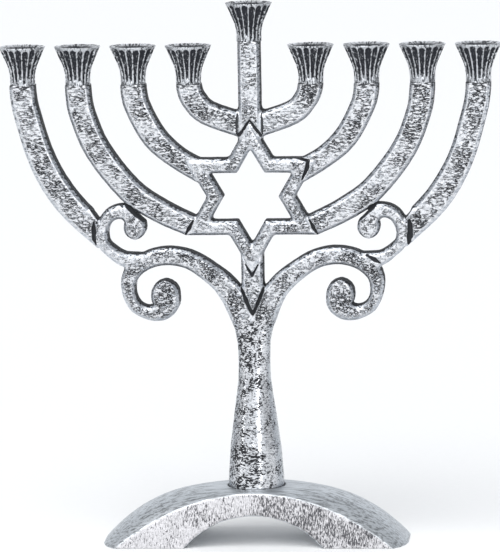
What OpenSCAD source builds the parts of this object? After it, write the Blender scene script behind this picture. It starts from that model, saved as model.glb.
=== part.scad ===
// Nine-branch candle lamp: cups on curved cast arms, an open six-pointed star in the
// middle, scrolls on both sides, a tapered trunk and an arched base.
// Millimetres, Z up, origin on the table under the centre of the base, front toward -Y.

/* [Candle cups] */
// Distance from the centre line to the first side cup
first_cup_x = 27.5; // [26.5:0.5:28.5]
// Distance between neighbouring side cups
cup_pitch = 25; // [24.5:0.5:25.5]
// Height of the rims of the eight side cups
side_rim_z = 225; // [223:1:227]
// Height of the rim of the middle cup
middle_rim_z = 244; // [240:1:250]
// Height of a cup from its neck to its rim
cup_h = 17.5; // [16.5:0.5:18.5]
// Diameter of a cup at its rim
cup_rim_d = 21; // [20:0.5:22]
// Diameter of a cup at its neck
cup_neck_d = 11.2; // [11:0.1:12]
// Diameter of the candle hole
candle_d = 10; // [9:0.5:10]
// Depth of the candle hole below the rim
candle_depth = 9; // [7:0.5:9]
// Number of grooves round a cup
flute_count = 18; // [14:1:20]

/* [Arms and scrolls] */
// Depth of every cast bar from front to back
bar_depth = 11; // [10:0.5:12]
// Bevel along the edges of every cast bar
bar_bevel = 1.5; // [1:0.1:2]
// Width of the middle column and of the post below the star
column_w = 10; // [9.5:0.1:10.5]

/* [Star] */
// Height of the centre of the star
star_z = 156.9; // [156.5:0.1:157.3]
// Distance from the centre of the star to its tips
star_r = 34.6; // [34.2:0.1:35]
// Width of the star's bars
star_bar_w = 6.6; // [6:0.1:7]

/* [Base] */
// Depth of the base from front to back on the table
base_depth = 47; // [45:0.5:48]
// Slope of the front and back faces away from upright
base_draft = 10; // [8:0.5:12]
// Length of the base on the table
base_l = 139; // [138:0.5:141]
// Length of the front and back faces on the table
base_face_l = 126.4; // [125:0.2:128]
// Height of the middle of the crown
base_h = 25.2; // [25:0.1:26]
// Height of the crown's front and back edges
base_edge_h = 24.4; // [24:0.1:24.8]
// How much the crown stays level before it falls to the ends
base_level = 3.15; // [3:0.05:3.3]
// Height of the opening under the base
tunnel_h = 14.2; // [13:0.2:15]
// Half the width of the opening at the table
tunnel_half_w = 31.2; // [29:0.2:33]

/* [Hidden] */

silver = "silver";
steel = "lightsteelblue";
$fn = 64;
tiny = 0.01;
big = 400;

// Candle cups: a straight flare above a curved neck
side_neck_z = side_rim_z - cup_h;
middle_neck_z = middle_rim_z - cup_h;
flare_h = 7.5;
flare_slope = 0.44;
flare_angle = atan(flare_slope);
rim_r = cup_rim_d / 2;
neck_r = cup_neck_d / 2;
neck_curve_r = (rim_r - flare_h * flare_slope - neck_r) / (1 - cos(flare_angle));
neck_curve_steps = 6;
rim_lip = 1.2;
mouth_dish = 1.5;
flute_r = 1;
flute_sink = 0.6;
flute_top = 1.6;
flute_bottom = 10;

// Tenon on top of each arm and the socket for it in the cup
tenon_r = 3;
tenon_h = 4.5;
socket_gap = 0.1;

// Stations along the base, points across its crown, and how far it is continued
base_columns = 48;
base_rows = 12;
base_extra = 2;
base_drop = 12;

// Trunk, washer and screw
seat_z = 24;
seat_gap = 0.2;
foot_r = 12.7;
trunk_top_z = 100;
thread_r = 3;
thread_depth = 24;
shank_gap = 0.3;
washer_r = 7;
washer_h = 1.2;
washer_gap = 0.3;
head_r = 5;
head_h = 4;
socket_key_w = 4;
counterbore_z = 18.8;
screw_end_gap = 1;

// Centre lines of the bars on the right side: x, z and width
arm_4_line = [[102.5, 210, 11.2], [102.2, 203, 11.2], [100.5, 194, 11.3], [94, 173, 11.6],
              [83, 154.6, 11.8], [66, 137.8, 10.8]];
arm_3_line = [[77.5, 210, 11.2], [77.2, 203, 11.2], [75.6, 194, 11.2], [69, 178, 11.2],
              [55, 160, 11], [41, 150.3, 10.4], [26, 143.2, 9.4]];
arm_2_line = [[52.5, 210, 11.2], [52.1, 203, 11.2], [50, 196, 11], [43, 183.5, 10.8],
              [33, 174.4, 9.6], [22, 168, 10]];
arm_1_line = [[27.5, 210, 11], [27, 205, 11], [25, 200.4, 10.8], [19, 194.5, 10.6], [2, 188.5, 10.8]];
scroll_line = [[5, 97, 10], [6, 106, 11.5], [12, 116, 10], [20, 123, 8.8],
               [29, 128.4, 8.2], [39, 130, 8], [48.5, 127.6, 7.8], [55.2, 121.4, 7.4],
               [56, 113.5, 6], [53, 107, 5.6], [47.5, 104, 6.6], [42, 104.6, 9.6],
               [39.7, 108.6, 12.6], [39.6, 112.8, 12.8]];
small_scroll_line = [[49, 127.6, 7.4], [54, 128, 6.8], [58.4, 128.8, 6.2], [63, 131.8, 5.4], [67, 136, 5.4],
                     [67.6, 142.5, 5.6], [64.4, 148.4, 6], [58.4, 150.4, 6.6],
                     [53.4, 147.4, 9], [52.7, 142.9, 10.2]];
line_steps = 4;
cap_steps = 4;

// Joints between bars, each a straight cut through x, z at an angle to the table
outer_cut = [70, 140, 81];
curl_cut = [52.8, 150.3, 44];
wedge_tip_z = 103;
wedge_angle = 66;

// Sections of the trunk: height, half width, half depth and how square it is
trunk_sections = [
    [seat_z, foot_r, foot_r, 2], [30, 12.5, 12.5, 2], [43, 11.5, 11.5, 2], [50, 10.5, 10.5, 2],
    [58, 9.5, 9.4, 2], [66, 8.3, 8.3, 2.1], [74, 7.3, 7.4, 2.2], [83, 7.1, 6.6, 2.6],
    [90, 7.3, 6, 3.2], [95, 8.2, 5.7, 4], [trunk_top_z, 9.9, 5.5, 6]
];
trunk_sides = 48;

// Point on the smooth curve through four neighbouring points, t from 0 to 1
function curve(a, b, c, d, t) =
    ((2 * b) + (c - a) * t + (2 * a - 5 * b + 4 * c - d) * t * t
     + (3 * b - a - 3 * c + d) * t * t * t) / 2;

// Smooth line through all points, with the end points continued straight on
function smooth(p, steps) =
    let (n = len(p), q = concat([2 * p[0] - p[1]], p, [2 * p[n - 1] - p[n - 2]]))
    concat(
        [for (i = [0 : n - 2], k = [0 : steps - 1])
            curve(q[i], q[i + 1], q[i + 2], q[i + 3], k / steps)],
        [p[n - 1]]
    );

// Half circle of narrowing stations that rounds off the end of a line
function round_end(line) =
    let (n = len(line), e = line[n - 1], r = e[2] / 2,
         dx = e[0] - line[n - 2][0], dz = e[1] - line[n - 2][1], l = norm([dx, dz]))
    [for (k = [1 : cap_steps])
        let (a = 90 * (k - 0.15) / cap_steps)
        [e[0] + dx / l * r * sin(a), e[1] + dz / l * r * sin(a), 2 * r * cos(a)]];

// Direction of a line at station i
function heading(p, i) =
    let (a = p[max(i - 1, 0)], b = p[min(i + 1, len(p) - 1)], v = [b[0] - a[0], b[1] - a[1]])
    v / norm(v);

// Eight corners of a bevelled bar section: offset across the bar, and depth
function bar_section(w) =
    let (c = min(bar_bevel, w / 3), h = w / 2, d = bar_depth / 2)
    [[h, d - c], [h - c, d], [c - h, d], [-h, d - c], [-h, c - d], [c - h, -d], [h - c, -d],
     [h, c - d]];

// Side faces between rings of m points, n rings, and the two end faces
function ring_faces(n, m) =
    [for (i = [0 : n - 2], k = [0 : m - 1])
        each [[i * m + k, (i + 1) * m + k, i * m + (k + 1) % m],
              [i * m + (k + 1) % m, (i + 1) * m + k, (i + 1) * m + (k + 1) % m]]];
function end_faces(n, m) =
    [[for (k = [0 : m - 1]) k], [for (k = [m - 1 : -1 : 0]) (n - 1) * m + k]];

// Bevelled bar swept along stations of x, z and width
module bar(stations) {
    points = [for (i = [0 : len(stations) - 1])
        let (s = stations[i], v = heading(stations, i))
        each [for (q = bar_section(s[2])) [s[0] + v[1] * q[0], q[1], s[1] - v[0] * q[0]]]];
    n = len(stations);
    polyhedron(points, concat(ring_faces(n, 8), end_faces(n, 8)), convexity = 10);
}

// Everything on the left side of a cut, looking along the cut's direction
module left_of(cut) {
    translate([cut[0], -big / 2, cut[1]])
        rotate([0, -cut[2], 0])
            translate([-big / 2, 0, 0])
                cube([big, big, big]);
}

// Everything on the right side of a cut
module right_of(cut) {
    left_of([cut[0], cut[1], cut[2] + 180]);
}

// Six-pointed star outline whose bars' outer edges lie tip / 2 from the centre
function star_outline(tip) =
    [for (k = [0 : 11])
        let (r = (k % 2 == 0) ? tip : tip / sqrt(3), a = 90 + 30 * k)
        [r * cos(a), r * sin(a)]];

// Block of the star's outer shape, longer than any bar is deep
module star_block() {
    translate([0, bar_depth, star_z])
        rotate([90, 0, 0])
            linear_extrude(2 * bar_depth)
                polygon(star_outline(star_r));
}

// Cup with its neck at z = 0
module cup() {
    rim_z = cup_h;
    bend_z = rim_z - flare_h;
    bend_r = rim_r - flare_h * flare_slope;
    curve_z = bend_z - neck_curve_r * sin(flare_angle);
    color(silver)
    difference() {
        rotate_extrude()
            polygon(concat(
                [[0, 0], [neck_r, 0]],
                [for (k = [0 : neck_curve_steps])
                    let (a = flare_angle * k / neck_curve_steps)
                    [neck_r + neck_curve_r * (1 - cos(a)), curve_z + neck_curve_r * sin(a)]],
                [[rim_r, rim_z], [rim_r - rim_lip, rim_z],
                 [candle_d / 2, rim_z - mouth_dish], [0, rim_z - mouth_dish]]
            ));
        translate([0, 0, rim_z - candle_depth])
            cylinder(d = candle_d, h = candle_depth);
        translate([0, 0, -tiny])
            cylinder(r = tenon_r + socket_gap, h = tenon_h + socket_gap + tiny);
        for (k = [0 : flute_count - 1])
            rotate([0, 0, 360 * k / flute_count])
                translate([rim_r - flute_top * flare_slope + flute_r - flute_sink, 0,
                           rim_z - flute_top])
                    rotate([0, 180 + flare_angle, 0])
                        cylinder(r = flute_r, h = flute_bottom / cos(flare_angle));
    }
}

// Tenon that holds a cup on top of an arm
module tenon(x, z) {
    translate([x, 0, z - 1])
        cylinder(r = tenon_r, h = tenon_h + 1);
}

// Straight bevelled upright between two heights
module upright(w, bottom, top) {
    bar([[0, top, w], [0, bottom, w]]);
}

// Arm along a line, cut off level under its cup; the children are cut away at its lower end
module arm(line) {
    color(silver)
    union() {
        difference() {
            bar(smooth(line, line_steps));
            translate([0, -big / 2, side_neck_z])
                cube(big);
            children();
        }
        tenon(line[0][0], side_neck_z);
    }
}

// Short inner arm, ending on the side of the column
module arm_1() {
    arm(arm_1_line)
        translate([-big + column_w / 2, -big / 2, 0])
            cube(big);
}

// Second arm, wrapped round one of the star's upper tips
module arm_2() {
    arm(arm_2_line)
        star_block();
}

// Third arm, ending on the star's outer edge above a lower tip
module arm_3() {
    arm(arm_3_line)
        left_of([star_r * cos(30), star_z - star_r / 2, 120]);
}

// Outer arm, ending on the small scroll
module arm_4() {
    arm(arm_4_line)
        left_of(outer_cut);
}

module column() {
    color(silver)
    union() {
        difference() {
            upright(column_w, star_z + star_r / 2, middle_neck_z);
            star_block();
        }
        tenon(0, middle_neck_z);
    }
}

// Closed frame: one bevelled ring of points per corner of the outline
module star() {
    c = bar_bevel;
    d = bar_depth / 2;
    w = star_bar_w;
    section = [[0, d - c], [c, d], [w - c, d], [w, d - c], [w, c - d], [w - c, -d], [c, -d],
               [0, c - d]];
    m = len(section);
    points = [for (k = [0 : 11])
        each [for (q = section)
            let (p = star_outline(star_r - 2 * q[0])[k])
            [p[0], q[1], p[1] + star_z]]];
    faces = [for (i = [0 : 11], k = [0 : m - 1])
        each [[i * m + k, ((i + 1) % 12) * m + k, i * m + (k + 1) % m],
              [i * m + (k + 1) % m, ((i + 1) % 12) * m + k, ((i + 1) % 12) * m + (k + 1) % m]]];
    color(silver)
    polyhedron(points, faces, convexity = 10);
}

// Post with a notch for the star above and a wedge between the scrolls below
module post() {
    half = column_w / 2;
    shoulder_z = wedge_tip_z + half * tan(wedge_angle);
    color(silver)
    intersection() {
        difference() {
            upright(column_w, wedge_tip_z, star_z - star_r / 2);
            star_block();
        }
        translate([0, bar_depth, 0])
            rotate([90, 0, 0])
                linear_extrude(2 * bar_depth)
                    polygon([[0, wedge_tip_z], [half + 1, shoulder_z + tan(wedge_angle)],
                             [half + 1, star_z], [-half - 1, star_z],
                             [-half - 1, shoulder_z + tan(wedge_angle)]]);
    }
}

// Whole bar of a large scroll, before it is cut to meet the trunk and the post
module scroll_bar() {
    line = smooth(scroll_line, line_steps);
    bar(concat(line, round_end(line)));
}

module scroll() {
    color(silver)
    difference() {
        scroll_bar();
        translate([-big, -big / 2, 0])
            cube(big);
        translate([-big / 2, -big / 2, trunk_top_z - big])
            cube(big);
        left_of([0, wedge_tip_z, wedge_angle]);
    }
}

module small_scroll() {
    line = smooth(small_scroll_line, line_steps);
    color(silver)
    difference() {
        bar(concat(line, round_end(line)));
        scroll_bar();
        left_of(curl_cut);
        right_of(outer_cut);
    }
}

// Point number k round a trunk section: round where squareness is 2, boxy above
function trunk_point(s, k) =
    let (a = 360 * (k + 0.5) / trunk_sides, e = 2 / s[3])
    [s[1] * sign(cos(a)) * pow(abs(cos(a)), e), s[2] * sign(sin(a)) * pow(abs(sin(a)), e), s[0]];

module trunk() {
    n = len(trunk_sections);
    color(silver)
    difference() {
        polyhedron(
            [for (s = trunk_sections) each [for (k = [0 : trunk_sides - 1]) trunk_point(s, k)]],
            concat(ring_faces(n, trunk_sides), end_faces(n, trunk_sides)),
            convexity = 4
        );
        translate([0, 0, seat_z - tiny])
            cylinder(r = thread_r, h = thread_depth + tiny);
    }
}

// Half the depth of the base between its sloping front and back faces
function base_half_depth(z) = base_depth / 2 - z * tan(base_draft);

// Point on the crown; t runs from -1 on the front edge to 1 on the back edge
function crown_point(x, t) =
    let (middle = base_h * (1 - pow(2 * abs(x) / base_l, base_level)),
         edge = base_edge_h * (1 - pow(2 * x / base_face_l, 2)),
         z = middle - (middle - edge) * pow(abs(t), 3))
    [x, t * base_half_depth(z), z];

// Crown and sloping faces, swept along X and continued below the table
module base_blank() {
    points = [for (i = [0 : base_columns])
        let (x = (base_l / 2 + base_extra) * (2 * i / base_columns - 1))
        concat(
            [[x, base_half_depth(-base_drop), -base_drop]],
            [for (k = [0 : base_rows]) crown_point(x, 1 - 2 * k / base_rows)],
            [[x, -base_half_depth(-base_drop), -base_drop]]
        )];
    m = base_rows + 3;
    polyhedron([for (ring = points) each ring],
               concat(ring_faces(base_columns + 1, m), end_faces(base_columns + 1, m)),
               convexity = 4);
}

module base() {
    tunnel_r = (tunnel_h * tunnel_h + tunnel_half_w * tunnel_half_w) / (2 * tunnel_h);
    color(silver)
    difference() {
        base_blank();
        translate([-big / 2, -big / 2, -big])
            cube(big);
        translate([0, base_depth, tunnel_h - tunnel_r])
            rotate([90, 0, 0])
                cylinder(r = tunnel_r, h = 2 * base_depth, $fn = 128);
        translate([0, 0, seat_z])
            cylinder(r = foot_r + seat_gap, h = base_h);
        cylinder(r = thread_r + shank_gap, h = base_h);
        cylinder(r = washer_r + washer_gap, h = counterbore_z);
    }
}

module washer() {
    color(steel)
    translate([0, 0, counterbore_z - washer_h])
        difference() {
            cylinder(r = washer_r, h = washer_h);
            translate([0, 0, -tiny])
                cylinder(r = thread_r + shank_gap, h = washer_h + 2 * tiny);
        }
}

module base_screw() {
    head_top_z = counterbore_z - washer_h;
    color(steel)
    difference() {
        union() {
            translate([0, 0, head_top_z - head_h])
                cylinder(r = head_r, h = head_h);
            translate([0, 0, head_top_z - tiny])
                cylinder(r = thread_r - socket_gap / 2,
                         h = seat_z + thread_depth - screw_end_gap - head_top_z + tiny);
        }
        translate([0, 0, head_top_z - head_h - tiny])
            cylinder(d = socket_key_w / cos(30), h = head_h / 2 + tiny, $fn = 6);
    }
}

// Side cups by number, counted outward from the middle
function cup_x(number) = first_cup_x + (number - 1) * cup_pitch;

module side_cup(number, side) {
    translate([side * cup_x(number), 0, side_neck_z])
        cup();
}

translate([0, 0, middle_neck_z]) cup();  // cup_middle
side_cup(1, -1);  // cup_left_1
side_cup(2, -1);  // cup_left_2
side_cup(3, -1);  // cup_left_3
side_cup(4, -1);  // cup_left_4
side_cup(1, 1);  // cup_right_1
side_cup(2, 1);  // cup_right_2
side_cup(3, 1);  // cup_right_3
side_cup(4, 1);  // cup_right_4
mirror([1, 0, 0]) arm_1();  // arm_left_1
mirror([1, 0, 0]) arm_2();  // arm_left_2
mirror([1, 0, 0]) arm_3();  // arm_left_3
mirror([1, 0, 0]) arm_4();  // arm_left_4
arm_1();  // arm_right_1
arm_2();  // arm_right_2
arm_3();  // arm_right_3
arm_4();  // arm_right_4
column();
star();
post();
mirror([1, 0, 0]) scroll();  // scroll_left
scroll();  // scroll_right
mirror([1, 0, 0]) small_scroll();  // small_scroll_left
small_scroll();  // small_scroll_right
trunk();
base();
washer();
base_screw();
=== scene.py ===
"""Looks of the nine-branch candle lamp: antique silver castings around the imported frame."""

import math

import bmesh
import bpy
import numpy as np
from mathutils import Matrix, Vector
from mathutils.bvhtree import BVHTree


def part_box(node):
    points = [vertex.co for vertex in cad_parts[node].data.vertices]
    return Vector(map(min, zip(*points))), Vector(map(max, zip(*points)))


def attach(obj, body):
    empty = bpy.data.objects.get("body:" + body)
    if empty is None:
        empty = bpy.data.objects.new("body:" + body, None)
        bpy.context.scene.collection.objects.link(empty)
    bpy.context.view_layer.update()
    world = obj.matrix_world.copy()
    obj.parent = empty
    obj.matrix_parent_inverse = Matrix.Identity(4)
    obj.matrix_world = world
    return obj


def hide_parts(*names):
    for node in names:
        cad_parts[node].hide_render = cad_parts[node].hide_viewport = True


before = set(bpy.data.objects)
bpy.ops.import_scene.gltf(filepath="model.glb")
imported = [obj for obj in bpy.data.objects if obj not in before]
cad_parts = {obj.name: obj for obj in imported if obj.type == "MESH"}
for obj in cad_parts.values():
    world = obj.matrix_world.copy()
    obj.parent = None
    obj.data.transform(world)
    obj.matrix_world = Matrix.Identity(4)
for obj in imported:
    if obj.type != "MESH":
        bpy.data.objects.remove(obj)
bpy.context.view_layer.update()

MM = 0.001
SIDES = {"left": -1, "right": 1}

# Sizes of the solids that the looks are built round, in mm
BAR_HALF_DEPTH = 5.5
STAR_Z = 156.9
STAR_R = 34.6
STAR_BAR = 6.6
CUP_HEIGHT = 17.5
CUP_NECK_R = 5.6
CUP_RIM_R = 10.5
CUP_FLARE_H = 7.5
CUP_SLOPE = 0.44
CANDLE_R = 5.0
CANDLE_FLOOR = 8.5
FLUTES = 18
SIDE_NECK_Z = 207.5
MIDDLE_NECK_Z = 226.5
FIRST_CUP_X = 27.5
CUP_PITCH = 25
TRUNK_FOOT_R = 12.9
TRUNK_TOP_Z = 97
SEAT_Z = 24
BASE_TOP_Z = 25.2
BASE_EDGE_TOP_Z = 24.4
BASE_HALF_LENGTH = 69.5
BASE_FACE_HALF_LENGTH = 63.2
BASE_LEVEL = 3.15
BASE_HALF_DEPTH = 23.5
BASE_DRAFT = math.radians(10)
SCREW_HEAD_H = 4
THREAD_R = 2.95
THREAD_PITCH = 1.0
THREAD_DEPTH = 0.55

# How the castings are softened and made uneven, in mm
CAST_VOXEL = 0.38
CORNER_ROUNDS = 160
CORNER_FILL = 2.6
CAST_UNEVEN = 0.07
BASE_VOXEL = 0.5
BASE_UNEVEN = 0.05

# Centre lines of the cast bars on the right side, in mm: x, z and width
LINES = {
    "arm_4": [(102.5, 210, 11.2), (102.2, 203, 11.2), (100.5, 194, 11.3), (94, 173, 11.6),
              (83, 154.6, 11.8), (66, 137.8, 10.8)],
    "arm_3": [(77.5, 210, 11.2), (77.2, 203, 11.2), (75.6, 194, 11.2), (69, 178, 11.2),
              (55, 160, 11), (41, 150.3, 10.4), (26, 143.2, 9.4)],
    "arm_2": [(52.5, 210, 11.2), (52.1, 203, 11.2), (50, 196, 11), (43, 183.5, 10.8),
              (33, 174.4, 9.6), (22, 168, 10)],
    "arm_1": [(27.5, 210, 11), (27, 205, 11), (25, 200.4, 10.8), (19, 194.5, 10.6),
              (2, 188.5, 10.8)],
    "scroll": [(5, 97, 10), (6, 106, 11.5), (12, 116, 10), (20, 123, 8.8), (29, 128.4, 8.2),
               (39, 130, 8), (48.5, 127.6, 7.8), (55.2, 121.4, 7.4), (56, 113.5, 6), (53, 107, 5.6),
               (47.5, 104, 6.6), (42, 104.6, 9.6), (39.7, 108.6, 12.6), (39.6, 112.8, 12.8)],
    "small_scroll": [(49, 127.6, 7.4), (54, 128, 6.8), (58.4, 128.8, 6.2), (63, 131.8, 5.4),
                     (67, 136, 5.4), (67.6, 142.5, 5.6), (64.4, 148.4, 6), (58.4, 150.4, 6.6),
                     (53.4, 147.4, 9), (52.7, 142.9, 10.2)],
}
UPRIGHT_LINE = [(0, 226, 10), (0, 90, 10)]
# Wedge of metal that joins the outer arm's inner corner to the small scroll, in mm: x and z
ARM_TOE = [(73, 152), (69.4, 146.9), (69.4, 142), (73, 140)]

# Grooves cut where two cast bars meet, in mm: x, z and half width along each, then the depth
GROOVES = {
    "star_arm_3": ([(26.2, 146.4, 0.4), (27.9, 143.2, 0.95), (29.8, 140, 0.5)], 1.6),
    "curl_crescent": ([(48.6, 146, 0.3), (51.2, 149, 1.2), (54.4, 152, 1.3),
                       (57.4, 154.4, 0.4)], 2.2),
    "outer_slit": ([(71, 146, 0.4), (71.3, 142.6, 1.05), (71, 138.4, 1.05),
                    (70.4, 135.6, 0.3)], 1.7),
    "star_foot": ([(2.8, 126.4, 0.3), (1.5, 123.9, 0.55), (0, 121.2, 0.6)], 1.4),
    "trunk_wedge": ([(5, 115.6, 0.6), (3.6, 111.8, 0.95), (1.6, 106.8, 0.85),
                     (0, 103.4, 0.6)], 1.7),
    "column_side": ([(5.4, 194.5, 0.3), (5.7, 190.5, 0.55), (5.7, 185.6, 0.5)], 1.6),
    "star_crown": ([(0, 191.6, 0.35), (2.4, 188.2, 0.7), (4.9, 184.8, 0.8)], 1.4),
}
# Grooves that only the right side has; its slit beside the outer arm is wider, too
RIGHT_GROOVES = {
    "star_arm_2": ([(19.5, 174.8, 0.3), (22.5, 174, 0.55), (26, 173.2, 0.75), (25.6, 170.2, 1),
                    (24.3, 167.2, 0.8), (23.2, 164.6, 0.4)], 1.8),
    "scroll_wedge": ([(57.8, 126.8, 0.4), (55.2, 128.4, 0.9), (51.6, 130.4, 0.4)], 1.2),
    "wide_slit": ([(71, 146, 0.6), (71.4, 142.6, 1.4), (71.2, 138.4, 1.4),
                   (70.6, 135.4, 0.5)], 1.9),
}


def lattice_noise(points, cell, seed):
    """Smooth random value from -1 to 1 at each point, with bumps about one cell across."""
    size = 32
    table = np.random.RandomState(seed).uniform(-1, 1, (size, size, size))
    place = points / cell + 1000
    corner = np.floor(place).astype(int)
    part = place - corner
    part = part * part * (3 - 2 * part)
    total = np.zeros(len(points))
    for dx in (0, 1):
        for dy in (0, 1):
            for dz in (0, 1):
                step = np.array((dx, dy, dz))
                weight = np.prod(np.where(step, part, 1 - part), axis=1)
                i, j, k = ((corner + step) % size).T
                total += weight * table[i, j, k]
    return total


def smoothstep(value, low, high):
    """0 below low, 1 above high, and a smooth rise between."""
    part = np.clip((value - low) / (high - low), 0, 1)
    return part * part * (3 - 2 * part)


def smooth_line(line, steps=8):
    """Points on the smooth curve through a line's points, as an array."""
    given = np.array(line, float)
    ends = np.vstack([2 * given[0] - given[1], given, 2 * given[-1] - given[-2]])
    made = []
    for i in range(len(given) - 1):
        a, b, c, d = ends[i:i + 4]
        for t in np.arange(steps) / steps:
            made.append((2 * b + (c - a) * t + (2 * a - 5 * b + 4 * c - d) * t * t
                         + (3 * b - a - 3 * c + d) * t ** 3) / 2)
    return np.vstack([made, given[-1]])


def follow(places, line):
    """For each x, z place: distance along a line, distance beside it, and its third value there."""
    start, end = line[:-1], line[1:]
    step = end[:, :2] - start[:, :2]
    length = np.linalg.norm(step, axis=1)
    offset = places[:, None, :] - start[None, :, :2]
    part = np.clip((offset * step).sum(2) / (length * length), 0, 1)
    gap = offset - part[:, :, None] * step
    nearest = np.argmin((gap * gap).sum(2), axis=1)
    rows = np.arange(len(places))
    part = part[rows, nearest]
    gap = gap[rows, nearest]
    direction = step[nearest] / length[nearest, None]
    side = np.sign(direction[:, 0] * gap[:, 1] - direction[:, 1] * gap[:, 0])
    run = np.concatenate([[0], np.cumsum(length)])[nearest] + part * length[nearest]
    value = start[nearest, 2] * (1 - part) + end[nearest, 2] * part
    return run, side * np.linalg.norm(gap, axis=1), value


def star_line():
    """Centre line of the star's closed bar."""
    reach = STAR_R - STAR_BAR
    corners = []
    for k in range(13):
        radius = reach if k % 2 == 0 else reach / math.sqrt(3)
        angle = math.radians(90 + 30 * k)
        corners.append((radius * math.cos(angle), STAR_Z + radius * math.sin(angle), STAR_BAR))
    return np.array(corners)


def get_points(mesh):
    """The mesh's points in mm, one row each."""
    flat = np.empty(len(mesh.vertices) * 3, np.float32)
    mesh.vertices.foreach_get("co", flat)
    return flat.reshape(-1, 3).astype(float) / MM


def set_points(mesh, points):
    mesh.vertices.foreach_set("co", (points * MM).astype(np.float32).ravel())
    mesh.update()


def get_normals(mesh):
    """The outward direction at each of the mesh's points."""
    flat = np.empty(len(mesh.vertices) * 3, np.float32)
    mesh.vertex_normals.foreach_get("vector", flat)
    return flat.reshape(-1, 3).astype(float)


def add_value(mesh, name, values):
    """Stores a number or a vector per point, for the materials to read."""
    kind = "FLOAT_VECTOR" if values.ndim == 2 else "FLOAT"
    attribute = mesh.attributes.new(name, kind, "POINT")
    key = "vector" if values.ndim == 2 else "value"
    attribute.data.foreach_set(key, values.astype(np.float32).ravel())


def new_piece(name, mesh):
    piece = bpy.data.objects.new(name, mesh)
    bpy.context.scene.collection.objects.link(piece)
    return piece


def even_mesh(source, voxel, passes):
    """Fine, even mesh of the shape in a mesh, with softened edges."""
    holder = new_piece("holder", source)
    remesh = holder.modifiers.new("even_mesh", "REMESH")
    remesh.mode = "VOXEL"
    remesh.voxel_size = voxel * MM
    soften = holder.modifiers.new("soft_edges", "SMOOTH")
    soften.factor = 0.5
    soften.iterations = passes
    depsgraph = bpy.context.evaluated_depsgraph_get()
    mesh = bpy.data.meshes.new_from_object(holder.evaluated_get(depsgraph))
    bpy.data.objects.remove(holder)
    mesh.shade_smooth()
    return mesh


def uneven_surface(mesh, amount, seed):
    """Moves the surface in and out a little, as on a hand-finished casting."""
    points = get_points(mesh)
    normals = get_normals(mesh)
    swell = lattice_noise(points, 7, seed) + 0.6 * lattice_noise(points, 3.1, seed + 1)
    grain = 0.45 * lattice_noise(points, 1.3, seed + 2)
    set_points(mesh, points + normals * (amount * (swell + grain))[:, None])


def fill_corners(mesh, rounds, most):
    """Rounds the inside corners where bars meet, by moving hollow places out by up to most.

    The band where the scrolls run into the trunk is softened in both directions.
    """
    normals_every = 8
    edges = np.empty(len(mesh.edges) * 2, np.int32)
    mesh.edges.foreach_get("vertices", edges)
    one, two = edges.reshape(-1, 2).T
    start = get_points(mesh)
    points = start.copy()
    count = len(points)
    neighbours = np.bincount(edges, minlength=count)
    height = points[:, 2]
    fork = smoothstep(height, TRUNK_TOP_Z - 4, TRUNK_TOP_Z)
    fork *= smoothstep(-height, -TRUNK_TOP_Z - 8, -TRUNK_TOP_Z - 4)
    fork = (0.5 * fork)[:, None]
    for turn in range(rounds):
        if turn % normals_every == 0:
            set_points(mesh, points)
            normals = get_normals(mesh)
        middle = np.empty_like(points)
        for axis in range(3):
            total = np.bincount(one, points[two, axis], count)
            total += np.bincount(two, points[one, axis], count)
            middle[:, axis] = total / neighbours
        hollow = ((middle - points) * normals).sum(1)
        points += normals * np.maximum(hollow - 0.003, 0)[:, None] * (1 - fork)
        points += (middle - points) * fork
    moved = points - start
    far = np.linalg.norm(moved, axis=1)
    points = start + moved * np.minimum(1, most / np.maximum(far, 1e-9))[:, None]
    set_points(mesh, points)


def cut_grooves(points, side, grooves):
    """Presses grooves into one side's front and back, and returns how deep each point is in one."""
    dark = np.zeros(len(points))
    places = points[:, [0, 2]] * (side, 1)
    front = np.abs(points[:, 1])
    wobble = 1 + 0.3 * lattice_noise(points, 1.7, 91)
    for line, depth in grooves:
        line = np.array(line, float)
        low, high = line[:, :2].min(0) - 3, line[:, :2].max(0) + 3
        near = np.all((places > low) & (places < high), axis=1)
        near &= front > BAR_HALF_DEPTH - 3.2
        if not near.any():
            continue
        away, half = follow(places[near], line)[1:]
        inside = 1 - np.abs(away) / (half * wobble[near])
        floor_y = BAR_HALF_DEPTH - depth * np.clip(inside, 0, 1) ** 0.7
        pressed = np.where(inside > 0, np.minimum(front[near], floor_y), front[near])
        points[near, 1] = np.sign(points[near, 1]) * pressed
        dark[near] = np.maximum(dark[near], smoothstep(inside, -0.25, 0.35))
    return dark


def meet_cups(points):
    """Closes the hairline between bars and cups, and returns how near it each point is."""
    neck_z = np.where(np.abs(points[:, 0]) < 8, MIDDLE_NECK_Z, SIDE_NECK_Z)
    below = neck_z - points[:, 2]
    points[:, 2] += 0.4 * smoothstep(-below, -1.0, -0.2) * smoothstep(below, -0.6, -0.2)
    return smoothstep(-below, -4.0, -0.5)


def cast_nodes():
    """CAD nodes of the casting, each with the line its finish follows and its side."""
    upright = np.array(UPRIGHT_LINE, float)
    nodes = {"star": (star_line(), 1), "trunk": (upright, 1), "column": (upright, 1),
             "post": (upright, 1)}
    for label, side in SIDES.items():
        for kind, line in LINES.items():
            node = "arm_" + label + kind[3:] if kind.startswith("arm") else kind + "_" + label
            nodes[node] = (smooth_line(line), side)
    return nodes


def add_toe(builder, side):
    """Adds the closed wedge at the inner corner of one side's outer arm."""
    reach = BAR_HALF_DEPTH * MM
    front = [builder.verts.new((side * x * MM, -reach, z * MM)) for x, z in ARM_TOE]
    back = [builder.verts.new((v.co.x, reach, v.co.z)) for v in front]
    faces = [builder.faces.new(front), builder.faces.new(back[::-1])]
    for k in range(len(front)):
        n = (k + 1) % len(front)
        faces.append(builder.faces.new((front[k], back[k], back[n], front[n])))
    bmesh.ops.recalc_face_normals(builder, faces=faces)


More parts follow.
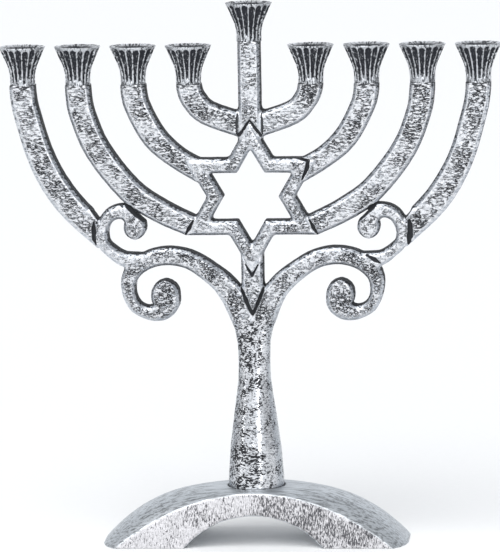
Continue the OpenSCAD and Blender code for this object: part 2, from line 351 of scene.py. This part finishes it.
def joined_cast(names):
    """One mesh of all the cast nodes, and for each of its faces the number of its node."""
    builder = bmesh.new()
    owner = []
    for number, name in enumerate(names):
        builder.from_mesh(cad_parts[name].data)
        if name.startswith("arm") and name.endswith("4"):
            add_toe(builder, SIDES[name.split("_")[1]])
        owner += [number] * (len(builder.faces) - len(owner))
    builder.faces.index_update()
    mesh = bpy.data.meshes.new("joined_cast")
    builder.to_mesh(mesh)
    tree = BVHTree.FromBMesh(builder)
    builder.free()
    mesh.materials.clear()
    return mesh, np.array(owner), tree


def take_part(name, points, normals, faces, mine):
    """Closed piece made of the faces in mine; its open ends, inside the joints, are filled."""
    corners = faces[mine]
    used, index = np.unique(corners, return_inverse=True)
    part = bpy.data.meshes.new(name)
    builder = bmesh.new()
    made = [builder.verts.new(v) for v in (points[used] * MM)]
    for face in index.reshape(corners.shape):
        builder.faces.new([made[k] for k in face])
    open_edges = [e for e in builder.edges if e.is_boundary]
    bmesh.ops.holes_fill(builder, edges=open_edges, sides=0)
    builder.to_mesh(part)
    builder.free()
    part.shade_smooth()
    part.normals_split_custom_set_from_vertices(normals[used].tolist())
    return part, used


def along_bar(own, node, line, side):
    """For each point of a cast node: run along the bar, run across it, and share of its width."""
    run, away, width = follow(own[:, [0, 2]] * (side, 1), line)
    if node == "trunk":
        angle = np.arctan2(own[:, 0], -own[:, 1])
        run, away, width = own[:, 2], angle * 9, np.full(len(own), 16)
    across = np.abs(away) / (width / 2)
    if "scroll" in node:
        end_x, end_z, end_width = line[-1]
        eye = np.hypot(own[:, 0] * side - end_x, own[:, 2] - end_z) < end_width / 2 + 1
        run[eye] = own[eye, 0]
        away[eye] = own[eye, 2]
        across[eye] = 0
    return run, away, across


def make_castings():
    """All the cast bars as one softened casting, split into one closed piece per node."""
    nodes = cast_nodes()
    names = list(nodes)
    joined, owner, tree = joined_cast(names)
    mesh = even_mesh(joined, CAST_VOXEL, 4)
    fill_corners(mesh, CORNER_ROUNDS, CORNER_FILL)
    uneven_surface(mesh, CAST_UNEVEN, 10)
    points = get_points(mesh)
    dark = cut_grooves(points, 1, list(GROOVES.values()) + list(RIGHT_GROOVES.values()))
    dark = np.maximum(dark, cut_grooves(points, -1, list(GROOVES.values())))
    dark = np.maximum(dark, 0.47 * meet_cups(points))
    set_points(mesh, points)
    normals = get_normals(mesh)
    faces = np.empty(len(mesh.polygons) * 4, np.int32)
    mesh.polygons.foreach_get("vertices", faces)
    faces = faces.reshape(-1, 4)
    centres = points[faces].mean(1)
    face_owner = np.array([owner[tree.find_nearest(c)[2]] for c in centres * MM])
    for number, (node, (line, side)) in enumerate(nodes.items()):
        name = "cast_" + node
        part, used = take_part(name, points, normals, faces, face_owner == number)
        own = points[used]
        run, away, across = along_bar(own, node, line, side)
        flow = np.column_stack([run + 37 * number, away, own[:, 1] + 13 * number])
        add_value(part, "flow", flow)
        add_value(part, "across", across)
        add_value(part, "place", own)
        if node == "trunk":
            add_value(part, "fork", smoothstep(own[:, 2], TRUNK_TOP_Z - 15, TRUNK_TOP_Z))
        # Painted contact shadow: the trunk is darkened just above its seat on the base; the dark
        # grooves and cup seams are carried in the same value.
        foot = 0.5 * smoothstep(-own[:, 2], -SEAT_Z - 1.6, -SEAT_Z - 1.0)
        add_value(part, "crease_and_shadow", np.maximum(dark[used], foot))
        dress(new_piece(name, part), node, bar_finish(node))


def lathe(name, rows, count):
    """Closed mesh from rows of points round Z; a row is (radius or radii, heights) in mm."""
    mesh = bpy.data.meshes.new(name)
    builder = bmesh.new()
    angles = np.arange(count) * 2 * math.pi / count
    rings = []
    for radius, height in rows:
        radius = np.broadcast_to(radius, count)
        height = np.broadcast_to(height, count)
        if radius.max() < 1e-6:
            rings.append([builder.verts.new((0, 0, height[0] * MM))])
            continue
        xs = radius * np.cos(angles) * MM
        ys = radius * np.sin(angles) * MM
        rings.append([builder.verts.new(v) for v in zip(xs, ys, height * MM)])
    for low, high in zip(rings, rings[1:]):
        for k in range(count):
            n = (k + 1) % count
            if len(low) == 1:
                builder.faces.new((low[0], high[n], high[k]))
            elif len(high) == 1:
                builder.faces.new((low[k], low[n], high[0]))
            else:
                builder.faces.new((low[k], low[n], high[n], high[k]))
    bmesh.ops.recalc_face_normals(builder, faces=builder.faces)
    builder.to_mesh(mesh)
    builder.free()
    mesh.shade_smooth()
    return mesh


def arc_rows(centre_r, centre_z, radius, start, end, steps):
    """Rows along a rounded corner, angles in degrees from outward to up."""
    made = []
    for angle in np.radians(np.linspace(start, end, steps)):
        made.append((centre_r + radius * math.cos(angle), centre_z + radius * math.sin(angle)))
    return made


def cup_outline(height):
    """Radius of a cup's plain outside at a height above its neck."""
    tilt = math.atan(CUP_SLOPE)
    bend_r = (CUP_RIM_R - CUP_FLARE_H * CUP_SLOPE - CUP_NECK_R) / (1 - math.cos(tilt))
    bend_z = CUP_HEIGHT - CUP_FLARE_H
    curve_z = bend_z - bend_r * math.sin(tilt)
    if height >= bend_z:
        return CUP_RIM_R - (CUP_HEIGHT - height) * CUP_SLOPE
    if height <= curve_z:
        return CUP_NECK_R
    lift = math.asin((height - curve_z) / bend_r)
    return CUP_NECK_R + bend_r * (1 - math.cos(lift))


def fluted_rows(rng, count):
    """Rows of a cup's fluted outside, and how dark the flutes make each row's points, 0 to 1."""
    place = np.arange(count) / (count / FLUTES) + rng.uniform(0, 1)
    flute = np.floor(place).astype(int) % FLUTES
    within = np.abs(place - np.floor(place) - 0.5) * 2
    tops = CUP_HEIGHT - 0.7 - rng.uniform(0, 0.8, FLUTES)[flute]
    ends = 0.9 + rng.uniform(-0.8, 1.8, FLUTES)[flute]
    widths = (0.84 + rng.uniform(-0.07, 0.07, FLUTES))[flute]
    rows = []
    dark_rows = []
    for height in np.linspace(0.25, CUP_HEIGHT - 0.45, 90):
        half = widths * (0.72 + 0.28 * smoothstep(height, 3, 13))
        top_round = np.clip((tops - height) / 0.9, 0, 1) ** 0.3
        low_round = np.sqrt(np.clip((height - ends) / 3.5, 0, 1))
        fit = np.clip(1 - (within / np.maximum(half * top_round, 1e-3)) ** 4, 0, 1)
        depth = 0.9 * fit * low_round * (top_round > 0)
        rows.append((cup_outline(height) - depth, height))
        off_middle = within / np.maximum(half * top_round, 0.05)
        dark_rows.append(smoothstep(1.35 - off_middle, 0, 0.9) * low_round)
    return rows, dark_rows


def make_cup(node, x, neck_z, seed):
    """A candle cup: socket below, flutes of uneven length outside, dished rim and candle hole."""
    count = FLUTES * 16
    fluted, fluted_dark = fluted_rows(np.random.RandomState(seed), count)
    socket = [(0, 4.6), (1.6, 4.6), (3.0, 4.6), (3.1, 4.5), (3.1, 2.4), (3.1, 0.3), (3.3, 0),
              (4.6, 0), (5.35, 0), (5.52, 0.08)]
    dish = [(10.42, 0.2), (10.28, 0.05), (10.05, 0), (9.5, 0), (9.2, 0.12), (8.2, 0.5), (7.0, 0.92),
            (5.8, 1.32), (CANDLE_R + 0.15, 1.6), (CANDLE_R + 0.02, 1.9), (CANDLE_R, 3)]
    hole = [(CANDLE_R, 12), (CANDLE_R, 10.2), (CANDLE_R, CANDLE_FLOOR + 0.3),
            (CANDLE_R - 0.2, CANDLE_FLOOR + 0.05), (4.4, CANDLE_FLOOR), (2.6, CANDLE_FLOOR),
            (0, CANDLE_FLOOR)]
    inside_rows = [(radius, CUP_HEIGHT - drop) for radius, drop in dish] + hole
    rows = socket + fluted + inside_rows
    dark_rows = [0] * len(socket) + fluted_dark + [0] * len(inside_rows)
    mesh = lathe("cast_" + node, rows, count)
    values = []
    for row, dark in zip(rows, dark_rows):
        values.append(np.broadcast_to(dark, 1 if np.max(row[0]) < 1e-6 else count))
    dark = np.concatenate(values)

    points = get_points(mesh)
    normals = get_normals(mesh)
    away = np.hypot(points[:, 0], points[:, 1])
    outside = (away > CANDLE_R + 0.4) * smoothstep(points[:, 2], 0, 2)
    rough = lattice_noise(points, 1.6, seed) + lattice_noise(points, 0.8, seed + 1)
    points += normals * (0.055 * rough * outside)[:, None]
    away = np.hypot(points[:, 0], points[:, 1])
    mouth = (away < 9) & (normals[:, 2] > -0.2) & (points[:, 2] > 6)
    mouth &= (points[:, 2] > CUP_HEIGHT - 1.7) | (away < CANDLE_R + 0.3)
    set_points(mesh, points + (x, 0, neck_z))

    angle = np.arctan2(points[:, 1], points[:, 0])
    flow = np.column_stack([points[:, 2] + 23 * seed, angle * 8, points[:, 0] * 0.3])
    add_value(mesh, "flow", flow)
    neck = 0.3 * smoothstep(-points[:, 2], -3.5, -0.5) * (away > 5)
    add_value(mesh, "crease_and_shadow", np.maximum(dark, neck))
    add_value(mesh, "inside", smoothstep(CUP_HEIGHT - points[:, 2], 0.35, 0.75) * mouth)
    dress(new_piece("cast_" + node, mesh), node, cup_silver)


def make_cups():
    make_cup("cup_middle", 0, MIDDLE_NECK_Z, 60)
    for label, side in SIDES.items():
        for number in range(1, 5):
            x = side * (FIRST_CUP_X + (number - 1) * CUP_PITCH)
            node = "cup_" + label + "_" + str(number)
            make_cup(node, x, SIDE_NECK_Z, 60 + 3 * number + side)


def smooth_crown(points, normals):
    """Moves the points on the base's crown onto its exact curve, up to its edges and the seat."""
    x, y, z = points.T
    middle = BASE_TOP_Z * (1 - (np.abs(x) / BASE_HALF_LENGTH) ** BASE_LEVEL)
    edge = BASE_EDGE_TOP_Z * (1 - (x / BASE_FACE_HALF_LENGTH) ** 2)
    reach = np.abs(y) / (BASE_HALF_DEPTH - z * math.tan(BASE_DRAFT))
    crown = middle - (middle - edge) * reach ** 3
    share = smoothstep(normals[:, 2], 0.3, 0.6) * smoothstep(-reach, -0.97, -0.93)
    share *= smoothstep(np.hypot(x, y), TRUNK_FOOT_R + 0.5, TRUNK_FOOT_R + 1.3)
    share *= (np.abs(crown - z) < 0.8) * (z > 1)
    points[:, 2] += share * (crown - z)


def make_base():
    """The arched base: a smooth crown, slightly uneven faces and a painted contact shadow as a dark
    ring round the trunk.
    """
    mesh = even_mesh(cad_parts["base"].data.copy(), BASE_VOXEL, 3)
    points = get_points(mesh)
    smooth_crown(points, get_normals(mesh))
    set_points(mesh, points)
    uneven_surface(mesh, BASE_UNEVEN, 84)
    points = get_points(mesh)
    settled = points[:, 2] < 0.6
    points[settled, 2] = np.maximum(points[settled, 2], 0)
    set_points(mesh, points)
    # Painted contact shadow: a dark ring on the crown round the trunk's seat.
    foot_gap = np.abs(np.hypot(points[:, 0], points[:, 1]) - TRUNK_FOOT_R)
    dark = 0.7 * smoothstep(-foot_gap, -0.6, -0.2) * (points[:, 2] > SEAT_Z - 0.5)
    add_value(mesh, "flow", points)
    add_value(mesh, "crease_and_shadow", dark)
    dress(new_piece("cast_base", mesh), "base", base_silver)


def make_washer():
    """The plain washer, with rounded edges."""
    low, high = (corner.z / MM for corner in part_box("washer"))
    inner_r, outer_r, inner_edge, outer_edge = 3.3, 7, 0.2, 0.25
    hole_r, flat_r = inner_r + inner_edge, outer_r - outer_edge
    rows = arc_rows(hole_r, low + inner_edge, inner_edge, 180, 270, 4)
    rows += arc_rows(flat_r, low + outer_edge, outer_edge, 270, 360, 5)
    rows += [(outer_r, (low + high) / 2)]
    rows += arc_rows(flat_r, high - outer_edge, outer_edge, 0, 90, 5)
    rows += arc_rows(hole_r, high - inner_edge, inner_edge, 90, 180, 4)
    rows.append(rows[0])
    mesh = lathe("turned_washer", rows, 96)
    weld(mesh)
    add_turned_flow(mesh)
    dress(new_piece("turned_washer", mesh), "washer", turned_steel)


def make_screw():
    """The screw under the base: hexagon socket, round head and a single thread."""
    low, top = (corner.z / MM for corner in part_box("base_screw"))
    head_top = low + SCREW_HEAD_H
    count = 96
    angles = np.arange(count) * 2 * math.pi / count
    sixth = math.pi / 3
    hexagon = 2 / np.cos((angles + sixth / 2) % sixth - sixth / 2)
    rows = [(0, low + 1.6), (1.2, low + 1.8), (hexagon * 0.98, low + 2), (hexagon, low + 1.8),
            (hexagon, low + 0.25), (hexagon + 0.2, low), (3.4, low)]
    rows += arc_rows(4.6, low + 0.4, 0.4, 270, 360, 5)
    rows += [(5, low + 2)]
    rows += arc_rows(4.8, head_top - 0.2, 0.2, 0, 90, 4)
    rows += [(3.2, head_top)]
    for z in np.arange(head_top + 0.1, top - 0.6, THREAD_PITCH / 8):
        phase = (z / THREAD_PITCH - angles / (2 * math.pi)) % 1
        ridge = np.abs(phase - 0.5) * 2
        fade = min(1, (z - head_top) / 1.5)
        rows.append((THREAD_R - THREAD_DEPTH * fade * np.clip(1.25 * ridge - 0.12, 0, 1), z))
    rows += [(2.3, top - 0.35), (1.9, top), (0, top)]
    mesh = lathe("turned_screw", rows, count)
    add_turned_flow(mesh)
    dress(new_piece("turned_screw", mesh), "base_screw", turned_steel)


def weld(mesh):
    """Joins the points of a turned mesh's first and last rows."""
    builder = bmesh.new()
    builder.from_mesh(mesh)
    bmesh.ops.remove_doubles(builder, verts=builder.verts, dist=1e-6)
    bmesh.ops.recalc_face_normals(builder, faces=builder.faces)
    builder.to_mesh(mesh)
    builder.free()


def add_turned_flow(mesh):
    points = get_points(mesh)
    radius = np.hypot(points[:, 0], points[:, 1])
    angle = np.arctan2(points[:, 1], points[:, 0])
    add_value(mesh, "flow", np.column_stack([radius, points[:, 2], angle]))


class Finish:
    """A material, with short calls for the nodes that the finishes are made of."""

    def __init__(self, name):
        self.material = bpy.data.materials.new(name)
        self.material.use_nodes = True
        self.tree = self.material.node_tree
        self.shader = self.tree.nodes["Principled BSDF"]
        self.shader.inputs["Specular IOR Level"].default_value = 0.3

    def plug(self, socket, value):
        if isinstance(value, bpy.types.NodeSocket):
            self.tree.links.new(value, socket)
        elif value is not None:
            socket.default_value = value

    def node(self, kind, **settings):
        made = self.tree.nodes.new("ShaderNode" + kind)
        for key, value in settings.items():
            setattr(made, key, value)
        return made

    def value(self, name):
        return self.node("Attribute", attribute_name=name).outputs["Fac"]

    def scaled(self, name, stretch):
        made = self.node("VectorMath", operation="MULTIPLY")
        self.plug(made.inputs[0], self.node("Attribute", attribute_name=name).outputs["Vector"])
        self.plug(made.inputs[1], stretch)
        return made.outputs[0]

    def flow(self, stretch=(1, 1, 1)):
        """Run along the piece's own line, run across it and depth, in mm, each times a number."""
        return self.scaled("flow", stretch)

    def place(self, stretch):
        """Place in the object, in mm, times a number along each axis."""
        return self.scaled("place", stretch)

    def part(self, vector, axis):
        parts = self.node("SeparateXYZ")
        self.plug(parts.inputs[0], vector)
        return parts.outputs[axis]

    def normal_part(self, axis):
        return self.part(self.node("NewGeometry").outputs["Normal"], axis)

    def math(self, operation, a, b=None):
        made = self.node("Math", operation=operation)
        self.plug(made.inputs[0], a)
        self.plug(made.inputs[1], b)
        return made.outputs[0]

    def ramp(self, value, low, high, start=0.0, end=1.0):
        """A smooth change from start to end, while value goes from low to high."""
        made = self.node("MapRange", interpolation_type="SMOOTHSTEP")
        for key, entry in zip(("Value", "From Min", "From Max", "To Min", "To Max"),
                              (value, low, high, start, end)):
            self.plug(made.inputs[key], entry)
        return made.outputs[0]

    def noise(self, vector, scale, detail=3.0, roughness=0.55, distortion=0.0):
        made = self.node("TexNoise")
        for key, entry in zip(("Vector", "Scale", "Detail", "Roughness", "Distortion"),
                              (vector, scale, detail, roughness, distortion)):
            self.plug(made.inputs[key], entry)
        return made.outputs["Fac"]

    def mix(self, amount, first, second):
        """Colour between first, at amount 0, and second, at amount 1."""
        made = self.node("Mix", data_type="RGBA")
        self.plug(made.inputs["Factor"], amount)
        self.plug(made.inputs[6], first)
        self.plug(made.inputs[7], second)
        return made.outputs[2]

    def bump(self, height, distance, strength=1.0):
        made = self.node("Bump")
        made.inputs["Strength"].default_value = strength
        made.inputs["Distance"].default_value = distance * MM
        self.plug(made.inputs["Height"], height)
        self.plug(self.shader.inputs["Normal"], made.outputs[0])

    def surface(self, color, roughness, metallic):
        self.plug(self.shader.inputs["Base Color"], color)
        self.plug(self.shader.inputs["Roughness"], roughness)
        self.plug(self.shader.inputs["Metallic"], metallic)


# Colours of the rubbed silver, of its side walls, and of the black left in hollows
BRIGHT = (0.76, 0.77, 0.795, 1)
DULL = (0.47, 0.485, 0.51, 1)
COOL = (0.54, 0.57, 0.615, 1)
SHADE = (0.19, 0.20, 0.222, 1)
GROOVE = (0.030, 0.032, 0.036, 1)
BLACK = (0.014, 0.015, 0.018, 1)
FLUTE_BLACK = (0.016, 0.018, 0.024, 1)
RIDGE = (0.66, 0.68, 0.71, 1)
RIM = (0.82, 0.835, 0.86, 1)
TRUNK_DULL = (0.44, 0.455, 0.48, 1)
# Painted shade for the trunk's sides and back, away from its front
TRUNK_SIDE_SHADE = (0.40, 0.43, 0.47, 1)
BASE_DULL = (0.42, 0.415, 0.425, 1)
BASE_BRIGHT = (0.62, 0.61, 0.625, 1)
BASE_MARK = (0.09, 0.09, 0.098, 1)
CROWN = (0.66, 0.69, 0.72, 1)
CROWN_LINE = (0.21, 0.22, 0.23, 1)
STEEL_DARK = (0.42, 0.43, 0.45, 1)
STEEL = (0.62, 0.63, 0.65, 1)
GREASE = (0.16, 0.15, 0.14, 1)


def worn_silver(name, strokes, amount, patch_scale, face_share):
    """Antique silver: rubbed bright faces with black strokes left in them, and dark upper sides.

    strokes packs the black marks along X, Y and Z, and amount is how many there are. patch_scale
    packs the patches where they crowd. face_share is how much of a bar's width they reach over.
    """
    made = Finish(name)
    fine = made.noise(made.place(strokes), 1.0, 3.0, 0.6, 0.12)
    facing = made.math("ABSOLUTE", made.normal_part(1))
    facing = made.math("ADD", facing, made.ramp(fine, 0.3, 0.7, 0.26, -0.26))
    upward = made.normal_part(2)
    across = made.value("across")
    crease_and_shadow = made.value("crease_and_shadow")
    face = made.ramp(facing, 0.72, 0.92)
    patches = made.noise(made.flow(), patch_scale, 2.0, 0.5)
    tone = made.noise(made.flow((1.2, 0.8, 1.0)), 1.0, 5.0, 0.75)
    centre = made.ramp(across, face_share, face_share - 0.3)
    dense = made.math("MULTIPLY", made.ramp(patches, 0.36, 0.60, 0.62, 1.0), centre)
    limit = made.math("SUBTRACT", 0.675, made.math("MULTIPLY", dense, amount))
    over = made.math("SUBTRACT", fine, limit)
    marks = made.math("MULTIPLY", made.ramp(over, -0.006, 0.012), face)

    # The walls: grey and pitted with black where they look upward
    mottle = made.noise(made.flow((1.5, 1.7, 1.7)), 1.0, 5.0, 0.75)
    side = made.ramp(facing, 0.70, 0.42)
    lift = made.ramp(upward, -0.6, 0.2, 0.5, 1.0)
    grey = made.math("MULTIPLY", lift, made.ramp(mottle, 0.30, 0.5, 0.55, 1.0))
    grey = made.math("MULTIPLY", side, grey)
    pits = made.math("MULTIPLY", side, made.ramp(made.math("MULTIPLY", mottle, lift), 0.35, 0.40))

    rubbed = made.mix(made.ramp(tone, 0.38, 0.56), DULL, BRIGHT)
    rubbed = made.mix(made.ramp(across, 0.72, 0.95), rubbed, BRIGHT)
    color = made.mix(face, COOL, rubbed)
    color = made.mix(grey, color, SHADE)
    color = made.mix(pits, color, BLACK)
    color = made.mix(marks, color, BLACK)
    ragged = made.ramp(made.math("ADD", crease_and_shadow, made.math("MULTIPLY", fine, 0.5)), 0.62, 0.80)
    color = made.mix(ragged, color, GROOVE)
    black = made.math("MAXIMUM", made.math("MAXIMUM", marks, pits), ragged)
    polish = made.ramp(tone, 0.35, 0.65, 0.40, 0.26)
    roughness = made.math("MAXIMUM", polish, made.math("MULTIPLY", black, 0.75))
    made.surface(color, roughness, made.ramp(black, 0.1, 0.9, 1.0, 0.0))
    relief = made.math("SUBTRACT", made.math("MULTIPLY", tone, 0.9), black)
    made.bump(relief, 0.16, 0.7)
    return made.material


# How closely the black strokes are packed along X, Y and Z: the smaller the number, the longer
ARM_STROKES = (0.42, 0.75, 1.2)
SCROLL_STROKES = (0.7, 0.8, 1.15)
STAR_STROKES = (0.65, 0.8, 1.2)
arm_silver = worn_silver("arm_silver", ARM_STROKES, 0.218, 0.10, 0.88)
scroll_silver = worn_silver("scroll_silver", SCROLL_STROKES, 0.238, 0.10, 0.92)
small_silver = worn_silver("small_silver", SCROLL_STROKES, 0.19, 0.12, 0.9)
star_silver = worn_silver("star_silver", STAR_STROKES, 0.20, 0.12, 0.88)


def bar_finish(node):
    if node == "trunk":
        return trunk_silver
    if "scroll" in node:
        return small_silver if "small" in node else scroll_silver
    return arm_silver if node.startswith("arm") else star_silver


def make_cup_silver():
    """Bright ridges and rim, worn through here and there, with black flutes and candle hole."""
    made = Finish("cup_silver")
    crease_and_shadow = made.value("crease_and_shadow")
    inside = made.value("inside")
    upward = made.normal_part(2)
    fine = made.noise(made.flow((0.85, 1.3, 1)), 1.0, 3.0, 0.65)
    tone = made.noise(made.flow((0.7, 1.4, 1)), 1.0, 4.0, 0.7)
    ragged = made.ramp(made.math("ADD", crease_and_shadow, made.math("MULTIPLY", fine, 2.2)), 1.32, 1.58)
    ragged = made.math("MULTIPLY", ragged, made.ramp(tone, 0.57, 0.67, 1.0, 0.3))
    flecks = made.ramp(made.math("ADD", fine, made.ramp(upward, 0.3, 0.7, 0, 0.08)), 0.56, 0.63)
    mouth = made.math("MULTIPLY", inside, made.ramp(fine, 0.36, 0.50, 0.85, 1.0))
    black = made.math("MAXIMUM", made.math("MAXIMUM", ragged, flecks), mouth)
    color = made.mix(made.ramp(tone, 0.38, 0.60), DULL, RIDGE)
    color = made.mix(made.ramp(upward, 0.45, 0.85), color, RIM)
    color = made.mix(black, color, FLUTE_BLACK)
    roughness = made.ramp(black, 0, 1, 0.34, 0.75)
    made.surface(color, roughness, made.ramp(black, 0.1, 0.9, 1.0, 0.0))
    relief = made.math("MULTIPLY", made.math("SUBTRACT", tone, black), 0.6)
    made.bump(relief, 0.12, 0.7)
    return made.material


def make_trunk_silver():
    """Rubbed silver with black marks round the trunk, more of them on the left and at the fork, and
    painted shade on its sides and back.
    """
    made = Finish("trunk_silver")
    crease_and_shadow = made.value("crease_and_shadow")
    across = made.value("across")
    patches = made.noise(made.flow(), 0.17, 3.0, 0.6, 0.6)
    strokes = made.noise(made.flow((1.6, 0.75, 1)), 1.0, 3.0, 0.64, 0.3)
    tone = made.noise(made.flow((1.5, 0.5, 1)), 1.0, 4.0, 0.7)
    centre = made.ramp(across, 1.3, 0.5, 0.6, 1.0)
    dense = made.math("MULTIPLY", made.ramp(patches, 0.40, 0.64), centre)
    limit = made.math("SUBTRACT", 0.622, made.math("MULTIPLY", dense, 0.16))
    limit = made.math("SUBTRACT", limit, made.math("MULTIPLY", made.value("fork"), 0.05))
    left = made.ramp(made.part(made.flow(), 1), 3, -4, 0, 0.055)
    limit = made.math("SUBTRACT", limit, left)
    marks = made.ramp(made.math("SUBTRACT", strokes, limit), -0.012, 0.02)
    # Adds the painted contact shadow at the trunk's foot to the black marks.
    marks = made.math("MAXIMUM", marks, made.ramp(crease_and_shadow, 0.3, 0.8))
    color = made.mix(made.ramp(tone, 0.36, 0.56), TRUNK_DULL, BRIGHT)
    # Painted shade: the trunk turns darker bluish grey towards its sides and back, which leaves its
    # front lighter.
    color = made.mix(made.ramp(across, 0.75, 1.3, 0, 0.8), color, TRUNK_SIDE_SHADE)
    color = made.mix(marks, color, BLACK)
    roughness = made.ramp(marks, 0, 1, 0.22, 0.65)
    made.surface(color, roughness, made.ramp(marks, 0.1, 0.9, 1.0, 0.0))
    relief = made.math("SUBTRACT", made.math("MULTIPLY", strokes, 0.5), marks)
    made.bump(relief, 0.14, 0.6)
    return made.material


def make_base_silver():
    """Brushed crown, and faces with upright dark strokes, more of them on the right."""
    made = Finish("base_silver")
    crease_and_shadow = made.value("crease_and_shadow")
    facing = made.math("ABSOLUTE", made.normal_part(1))
    flat = made.ramp(facing, 0.9, 0.985)
    brushed = made.noise(made.flow((0.015, 0.9, 0.8)), 1.0, 4.0, 0.75)
    patches = made.noise(made.flow(), 0.055, 3.0, 0.6)
    strokes = made.noise(made.flow((1.9, 1.0, 0.6)), 1.0, 3.0, 0.66, 0.25)
    right = made.ramp(made.part(made.flow(), 0), -30, 30, 0.015, 0.075)
    more = made.math("ADD", made.ramp(patches, 0.4, 0.65, 0, 0.09), right)
    over = made.math("SUBTRACT", strokes, made.math("SUBTRACT", 0.615, more))
    marks = made.math("MULTIPLY", made.ramp(over, -0.04, 0.09), flat)
    lines = made.ramp(brushed, 0.46, 0.62, 0, 0.85)
    lines = made.math("MULTIPLY", lines, made.math("SUBTRACT", 1.0, flat))
    tone = made.noise(made.flow((1.6, 0.8, 0.6)), 1.0, 4.0, 0.7)
    rubbed = made.mix(made.ramp(tone, 0.34, 0.58), BASE_DULL, BASE_BRIGHT)
    color = made.mix(flat, CROWN, rubbed)
    color = made.mix(lines, color, CROWN_LINE)
    color = made.mix(marks, color, BASE_MARK)
    # Painted shade: the contact shadow ring round the trunk is blackened here.
    color = made.mix(crease_and_shadow, color, BLACK)
    dull = made.math("MAXIMUM", marks, crease_and_shadow)
    roughness = made.ramp(flat, 0, 1, 0.48, 0.36)
    roughness = made.math("ADD", roughness, made.math("MULTIPLY", dull, 0.3))
    made.surface(color, roughness, made.ramp(dull, 0.1, 0.9, 1.0, 0.4))
    relief = made.math("SUBTRACT", made.math("MULTIPLY", brushed, 0.5), marks)
    made.bump(relief, 0.12, 0.55)
    return made.material


def make_turned_steel():
    """Plated steel with fine turning marks and a little grease."""
    made = Finish("turned_steel")
    rings = made.noise(made.flow((9, 5, 0.2)), 1.0, 3.0, 0.6)
    grease = made.noise(made.flow((0.5, 0.5, 1.3)), 1.0, 3.0, 0.6)
    color = made.mix(made.ramp(rings, 0.35, 0.65), STEEL_DARK, STEEL)
    color = made.mix(made.ramp(grease, 0.55, 0.72, 0, 0.7), color, GREASE)
    made.surface(color, made.ramp(rings, 0.3, 0.7, 0.28, 0.42), 1.0)
    made.bump(rings, 0.04, 0.6)
    return made.material


cup_silver = make_cup_silver()
trunk_silver = make_trunk_silver()
base_silver = make_base_silver()
turned_steel = make_turned_steel()


def dress(piece, node, material):
    """Gives a piece its material and its body, and hides the CAD node that it stands in for."""
    piece.data.materials.clear()
    piece.data.materials.append(material)
    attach(piece, "root")
    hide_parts(node)


def make_floor():
    """A pale floor, a hair below the feet so that the two surfaces don't coincide."""
    mesh = bpy.data.meshes.new("floor")
    builder = bmesh.new()
    bmesh.ops.create_grid(builder, x_segments=8, y_segments=8, size=6)
    builder.to_mesh(mesh)
    builder.free()
    floor = new_piece("floor", mesh)
    floor.location.z = -0.05 * MM
    made = Finish("pale_floor")
    grain = made.noise(made.node("TexCoord").outputs["Object"], 300, 2.0)
    color = made.mix(made.ramp(grain, 0.3, 0.7), (0.93, 0.93, 0.93, 1), (0.94, 0.94, 0.94, 1))
    made.surface(color, 0.85, 0.0)
    mesh.materials.append(made.material)


def make_light(name, place, target, width, height, power):
    light = bpy.data.lights.new(name, "AREA")
    light.shape = "RECTANGLE"
    light.size = width
    light.size_y = height
    light.energy = power
    holder = bpy.data.objects.new(name, light)
    holder.location = place
    toward = Vector(target) - Vector(place)
    holder.rotation_mode = "QUATERNION"
    holder.rotation_quaternion = toward.to_track_quat("-Z", "Y")
    bpy.context.scene.collection.objects.link(holder)


def make_lights():
    """Even studio light: a surround that is dimmer at the sides, a soft sun and three softboxes."""
    world = bpy.data.worlds.new("studio")
    bpy.context.scene.world = world
    world.use_nodes = True
    nodes, links = world.node_tree.nodes, world.node_tree.links
    background = nodes["Background"]
    background.inputs["Color"].default_value = (0.93, 0.96, 1.0, 1)
    parts = nodes.new("ShaderNodeSeparateXYZ")
    links.new(nodes.new("ShaderNodeTexCoord").outputs["Generated"], parts.inputs[0])
    size = nodes.new("ShaderNodeMath")
    size.operation = "ABSOLUTE"
    links.new(parts.outputs[1], size.inputs[0])
    fade = nodes.new("ShaderNodeMapRange")
    fade.interpolation_type = "SMOOTHSTEP"
    links.new(size.outputs[0], fade.inputs["Value"])
    for key, entry in zip(("From Min", "From Max", "To Min", "To Max"), (0.35, 0.95, 0.50, 1.04)):
        fade.inputs[key].default_value = entry
    links.new(fade.outputs[0], background.inputs["Strength"])
    lamp = bpy.data.lights.new("overhead", "SUN")
    lamp.energy = 1.65
    lamp.angle = math.radians(50)
    holder = bpy.data.objects.new("overhead", lamp)
    holder.rotation_euler = (math.radians(28), math.radians(-14), 0)
    bpy.context.scene.collection.objects.link(holder)
    middle = (0, 0, 0.12)
    make_light("front_softbox", (-0.35, -2.3, 1.15), middle, 0.8, 1.0, 8)
    make_light("right_strip", (0.75, -1.9, 0.45), middle, 0.22, 1.2, 4.5)
    make_light("left_strip", (-1.9, -1.05, 0.45), middle, 0.07, 1.2, 2.2)


def make_camera():
    """View from slightly to the right of the front and a little above."""
    distance, azimuth, height, roll = 2.2, math.radians(5), 0.44, math.radians(-1)
    place = Vector((distance * math.sin(azimuth), -distance * math.cos(azimuth), height))
    target = Vector((-0.0014, 0, 0.1204))
    camera = bpy.data.objects.new("camera", bpy.data.cameras.new("camera"))
    camera.data.lens = 321.8
    camera.data.sensor_width = 36
    camera.data.clip_start = 0.1
    camera.location = place
    camera.rotation_mode = "QUATERNION"
    look = (target - place).to_track_quat("-Z", "Y").to_matrix()
    camera.rotation_quaternion = (look @ Matrix.Rotation(roll, 3, "Z")).to_quaternion()
    bpy.context.scene.collection.objects.link(camera)
    bpy.context.scene.camera = camera


make_camera()
make_lights()
make_floor()
make_castings()
make_cups()
make_base()
make_washer()
make_screw()
bpy.context.scene.view_settings.view_transform = "Standard"

bpy.context.view_layer.update()
